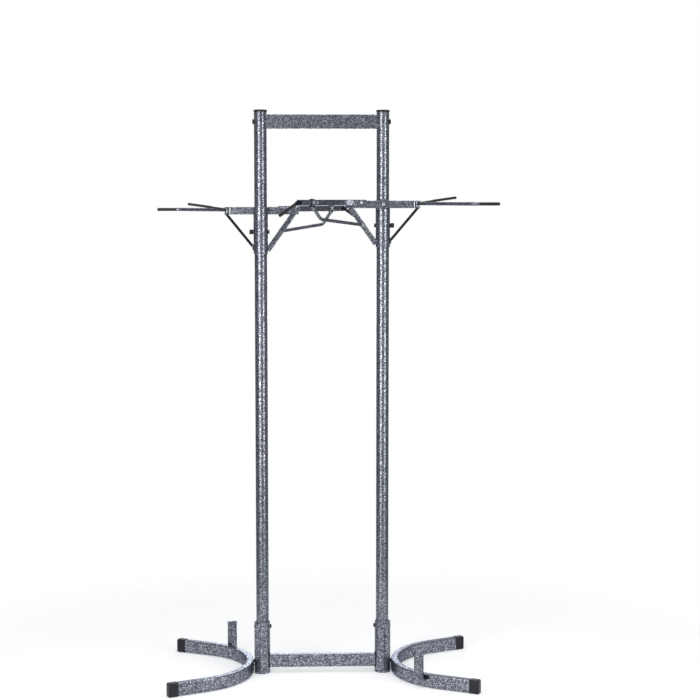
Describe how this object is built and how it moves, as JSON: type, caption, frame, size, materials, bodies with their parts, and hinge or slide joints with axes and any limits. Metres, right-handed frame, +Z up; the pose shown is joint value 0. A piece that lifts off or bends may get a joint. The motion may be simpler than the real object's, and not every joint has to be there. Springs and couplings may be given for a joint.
{
  "type": "two tier bike rack",
  "caption": "Upright steel rack with two posts on horseshoe feet, each post with a sliding wheel cradle that has a gate arm, a strutted fixed arm and a clamp knob.",
  "frame": {"origin": "On the floor, in the middle between the two posts", "axes": "+X from the left-hand post to the right-hand post as the picture shows them, +Z up along the posts, and -Y towards the viewer, to which the right-hand cradle opens."},
  "size_m": [0.9038, 0.4642, 1.5193],
  "materials": {
    "hammertone_paint": "glossy dark blue-grey hammertone paint with a fine speckled grain",
    "black_plastic": "moulded black plastic with a slight sheen",
    "black_vinyl": "dipped black vinyl, soft and smooth",
    "black_steel": "blackened bolts and set screws with a satin sheen",
    "zinc_steel": "bright zinc plated fasteners"
  },
  "bodies": {
    "frame": {"bottom_crossbar": "hammertone_paint", "top_crossbar": "hammertone_paint", "socket_right": "hammertone_paint", "lower_tube_right": "hammertone_paint", "middle_tube_right": "hammertone_paint", "upper_tube_right": "hammertone_paint", "post_cap_right": "black_plastic", "foot_right": "hammertone_paint", "foot_saddle_right": "hammertone_paint", "wheel_stop_right": "hammertone_paint", "top_bolt_right": "black_steel", "socket_bolt_right": "black_steel", "foot_bolt_right": "black_steel", "foot_cap_right_front": "black_plastic", "foot_cap_right_rear": "black_plastic", "socket_left": "hammertone_paint", "lower_tube_left": "hammertone_paint", "middle_tube_left": "hammertone_paint", "upper_tube_left": "hammertone_paint", "post_cap_left": "black_plastic", "foot_left": "hammertone_paint", "foot_saddle_left": "hammertone_paint", "wheel_stop_left": "hammertone_paint", "top_bolt_left": "black_steel", "socket_bolt_left": "black_steel", "foot_bolt_left": "black_steel", "foot_cap_left_front": "black_plastic", "foot_cap_left_rear": "black_plastic"},
    "cradle_right": {"cradle_sleeve_right": "hammertone_paint", "cradle_crosspiece_right": "hammertone_paint", "fixed_arm_right": "hammertone_paint", "fixed_tip_right": "black_vinyl", "rod_brace_right": "hammertone_paint", "bar_brace_right": "hammertone_paint", "strut_right": "hammertone_paint", "crosspiece_screw_right": "zinc_steel", "arm_screw_right": "zinc_steel", "strut_screw_right": "zinc_steel", "brace_screw_right": "zinc_steel", "set_screw_right": "black_steel"},
    "gate_right": {"gate_arm_right": "hammertone_paint", "gate_tip_right": "black_vinyl", "gate_handle_right": "black_vinyl"},
    "knob_right": {"clamp_knob_right": "black_plastic"},
    "cradle_left": {"cradle_sleeve_left": "hammertone_paint", "cradle_crosspiece_left": "hammertone_paint", "fixed_arm_left": "hammertone_paint", "fixed_tip_left": "black_vinyl", "rod_brace_left": "hammertone_paint", "bar_brace_left": "hammertone_paint", "strut_left": "hammertone_paint", "crosspiece_screw_left": "zinc_steel", "arm_screw_left": "zinc_steel", "strut_screw_left": "zinc_steel", "brace_screw_left": "zinc_steel", "set_screw_left": "black_steel"},
    "gate_left": {"gate_arm_left": "hammertone_paint", "gate_tip_left": "black_vinyl", "gate_handle_left": "black_vinyl"},
    "knob_left": {"clamp_knob_left": "black_plastic"}
  },
  "joints": [
    {"name": "cradle_right_slide", "type": "slide", "parent": "frame", "child": "cradle_right", "axis": [0, 0, 1], "range_m": [-0.18, 0.18]},
    {"name": "gate_right_swing", "type": "hinge", "parent": "cradle_right", "child": "gate_right", "pos_m": [0.2525, -0.0254, 1.27], "axis": [0, 0, 1], "range_deg": [-35, 60]},
    {"name": "knob_right_turn", "type": "hinge", "parent": "cradle_right", "child": "knob_right", "pos_m": [0.1875, 0, 1.214], "axis": [1, 0, 0], "range_deg": [0, 540]},
    {"name": "cradle_left_slide", "type": "slide", "parent": "frame", "child": "cradle_left", "axis": [0, 0, 1], "range_m": [-0.17, 0.19]},
    {"name": "gate_left_swing", "type": "hinge", "parent": "cradle_left", "child": "gate_left", "pos_m": [-0.2525, 0.0254, 1.253], "axis": [0, 0, 1], "range_deg": [-35, 60]},
    {"name": "knob_left_turn", "type": "hinge", "parent": "cradle_left", "child": "knob_left", "pos_m": [-0.1875, 0, 1.197], "axis": [-1, 0, 0], "range_deg": [0, 540]}
  ]
}
